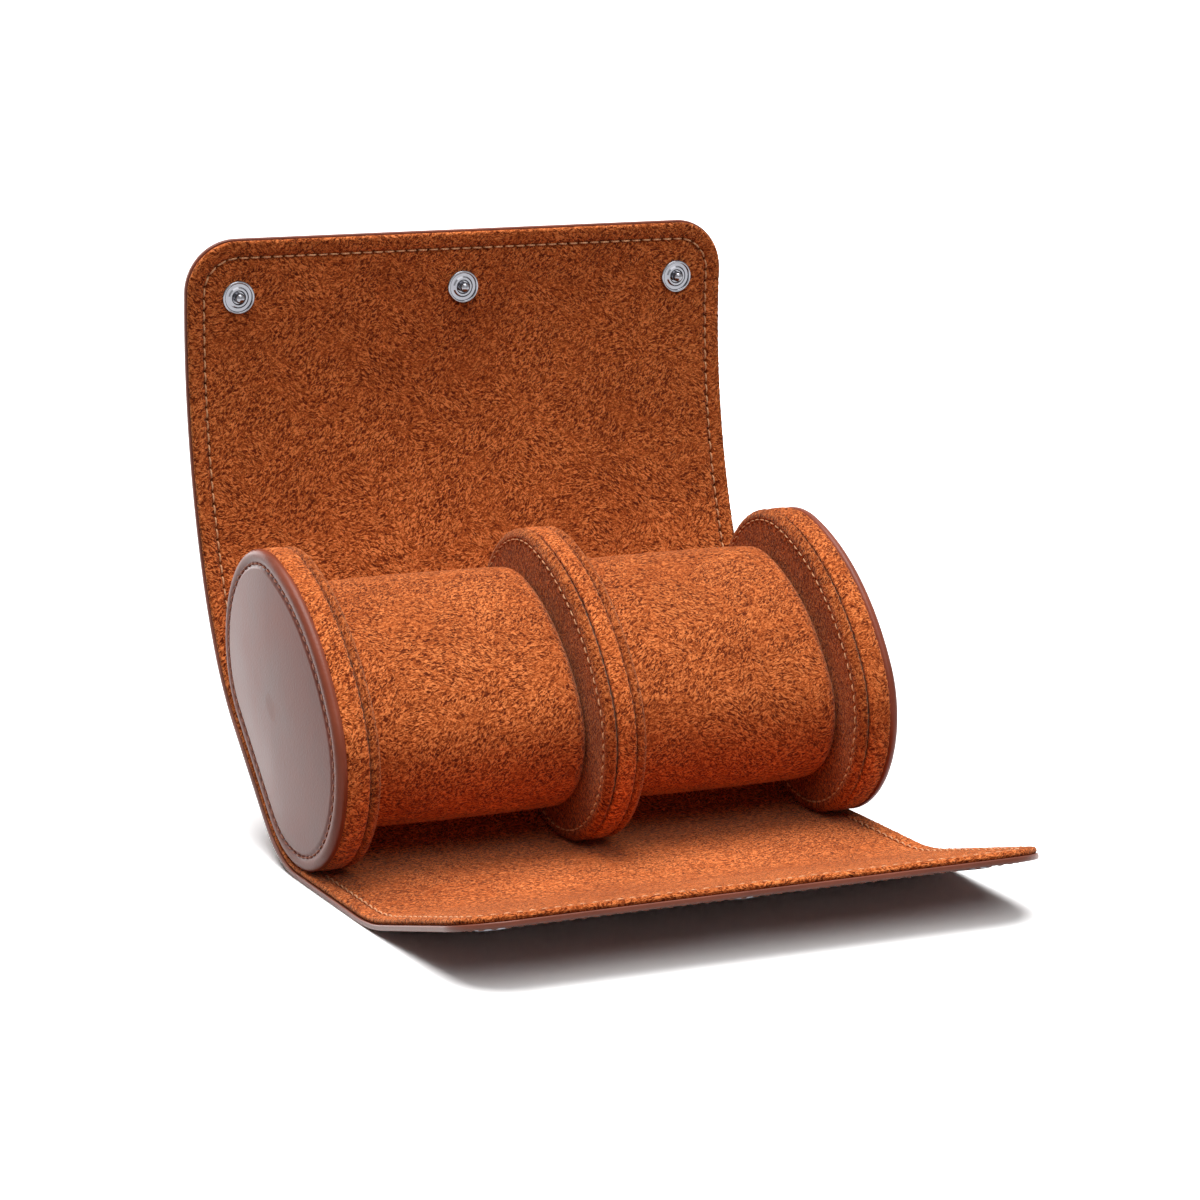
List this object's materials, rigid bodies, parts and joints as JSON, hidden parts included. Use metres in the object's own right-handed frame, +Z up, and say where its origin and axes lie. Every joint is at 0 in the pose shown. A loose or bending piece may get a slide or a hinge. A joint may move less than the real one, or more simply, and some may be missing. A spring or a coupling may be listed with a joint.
{
  "type": "watch travel roll",
  "caption": "Open leather travel roll for watches: oval end walls and a divider hold removable suede pillows between a rear flap with studs and a front flap with sockets.",
  "frame": {"origin": "on the ground, under the middle of the bounding box of the open roll", "axes": "+X across the roll to its right, +Y from the front flap to the rear flap, +Z up"},
  "size_m": [0.17, 0.2033, 0.1656],
  "materials": {
    "leather": "smooth dark brown",
    "leather_edge": "burnished edge",
    "suede": "napped suede",
    "board": "pressed board",
    "foam": "soft foam",
    "snap_metal": "polished nickel"
  },
  "bodies": {
    "case": {"base_leather": "leather", "base_lining": "suede", "left_face": "leather", "left_welt": "leather_edge", "left_band": "suede", "left_core": "board", "left_inner": "suede", "right_face": "leather", "right_welt": "leather_edge", "right_band": "suede", "right_core": "board", "right_inner": "suede", "divider_band": "suede", "divider_core": "board", "divider_left": "suede", "divider_right": "suede"},
    "rear_flap_1": {"rear_leather_1": "leather", "rear_lining_1": "suede"},
    "front_flap_1": {"front_leather_1": "leather", "front_lining_1": "suede"},
    "rear_flap_2": {"rear_leather_2": "leather", "rear_lining_2": "suede"},
    "front_flap_2": {"front_leather_2": "leather", "front_lining_2": "suede"},
    "rear_flap_3": {"rear_leather_3": "leather", "rear_lining_3": "suede"},
    "front_flap_3": {"front_leather_3": "leather", "front_lining_3": "suede"},
    "rear_flap_4": {"rear_leather_4": "leather", "rear_lining_4": "suede", "stud_left": "snap_metal", "stud_middle": "snap_metal", "stud_right": "snap_metal", "stud_back_left": "snap_metal", "stud_back_middle": "snap_metal", "stud_back_right": "snap_metal"},
    "front_flap_4": {"front_leather_4": "leather", "front_lining_4": "suede", "socket_left": "snap_metal", "socket_middle": "snap_metal", "socket_right": "snap_metal", "socket_spring_left": "snap_metal", "socket_spring_middle": "snap_metal", "socket_spring_right": "snap_metal", "socket_back_left": "snap_metal", "socket_back_middle": "snap_metal", "socket_back_right": "snap_metal"},
    "pillow_left": {"pillow_left_core": "foam", "pillow_left_sleeve": "suede", "pillow_left_caps": "suede"},
    "pillow_right": {"pillow_right_core": "foam", "pillow_right_sleeve": "suede", "pillow_right_caps": "suede"}
  },
  "joints": [
    {"name": "rear_flap_fold", "type": "hinge", "parent": "case", "child": "rear_flap_1", "pos_m": [0, 0.0757, 0.05111], "axis": [-1, 0, 0], "range_deg": [-43.82, 15]},
    {"name": "rear_flap_curl_1", "type": "hinge", "parent": "rear_flap_1", "child": "rear_flap_2", "pos_m": [0, 0.08577, 0.07176], "axis": [-1, 0, 0], "range_deg": [-24.73, 0]},
    {"name": "rear_flap_curl_2", "type": "hinge", "parent": "rear_flap_2", "child": "rear_flap_3", "pos_m": [0, 0.09268, 0.09368], "axis": [-1, 0, 0], "range_deg": [-22.19, 0]},
    {"name": "rear_flap_curl_3", "type": "hinge", "parent": "rear_flap_3", "child": "rear_flap_4", "pos_m": [0, 0.09706, 0.11727], "axis": [-1, 0, 0], "range_deg": [-33.69, 0]},
    {"name": "front_flap_fold", "type": "hinge", "parent": "case", "child": "front_flap_1", "pos_m": [0, 0.0072, 0.0032], "axis": [1, 0, 0], "range_deg": [-26.12, 0]},
    {"name": "front_flap_curl_1", "type": "hinge", "parent": "front_flap_1", "child": "front_flap_2", "pos_m": [0, -0.0148, 0.0032], "axis": [1, 0, 0], "range_deg": [-44.88, 0]},
    {"name": "front_flap_curl_2", "type": "hinge", "parent": "front_flap_2", "child": "front_flap_3", "pos_m": [0, -0.0368, 0.0032], "axis": [1, 0, 0], "range_deg": [-14.03, 0]},
    {"name": "front_flap_curl_3", "type": "hinge", "parent": "front_flap_3", "child": "front_flap_4", "pos_m": [0, -0.05805, 0.00889], "axis": [1, 0, 0], "range_deg": [-42.71, 0]},
    {"name": "pillow_left_lift", "type": "slide", "parent": "case", "child": "pillow_left", "axis": [0, -0.6691, 0.7431], "range_m": [0, 0.058]},
    {"name": "pillow_right_lift", "type": "slide", "parent": "case", "child": "pillow_right", "axis": [0, -0.6691, 0.7431], "range_m": [0, 0.058]}
  ],
  "couplings": [
    {"joint": "rear_flap_curl_2", "follows": "rear_flap_curl_1", "ratio": 0.89697},
    {"joint": "rear_flap_curl_3", "follows": "rear_flap_curl_1", "ratio": 1.3621},
    {"joint": "front_flap_curl_2", "follows": "front_flap_curl_1", "ratio": 0.3125},
    {"joint": "front_flap_curl_3", "follows": "front_flap_curl_1", "ratio": 0.95155}
  ]
}
